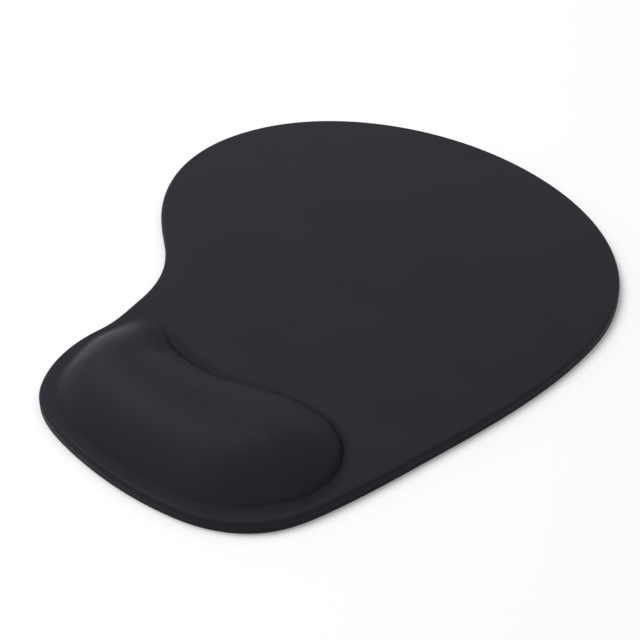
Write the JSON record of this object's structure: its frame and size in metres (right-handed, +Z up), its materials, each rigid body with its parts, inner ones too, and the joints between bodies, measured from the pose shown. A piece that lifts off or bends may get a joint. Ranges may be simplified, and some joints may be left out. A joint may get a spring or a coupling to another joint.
{
  "type": "mouse mat wrist rest",
  "caption": "Flat cloth-covered mouse mat with a waisted oval outline and a raised kidney-shaped gel wrist cushion along its near end.",
  "frame": {"origin": "on the desk surface, under the middle of the mat's outline", "axes": "+X to the user's right, +Y away from the user along the mat's length, +Z up; the wrist cushion lies along the -Y end"},
  "size_m": [0.2172, 0.249, 0.0175],
  "materials": {
    "cover_cloth": "fine polyester and elastane jersey, matt with a faint satin sheen",
    "bond_film": "thin hot-melt web, cloudy",
    "gel": "soft clear gel, wet looking",
    "pouch_film": "clear thermoplastic polyurethane film, slightly tacky",
    "foam": "closed-cell foam board, skinned",
    "base_rubber": "non-slip, embossed with a fine grip pattern underneath"
  },
  "bodies": {
    "root": {"fabric_cover": "cover_cloth", "cover_bond_film": "bond_film", "gel_core": "gel", "pouch_top_film": "pouch_film", "pouch_bottom_film": "pouch_film", "foam_board": "foam", "base_bond_film": "bond_film", "nonslip_base": "base_rubber"}
  },
  "joints": []
}
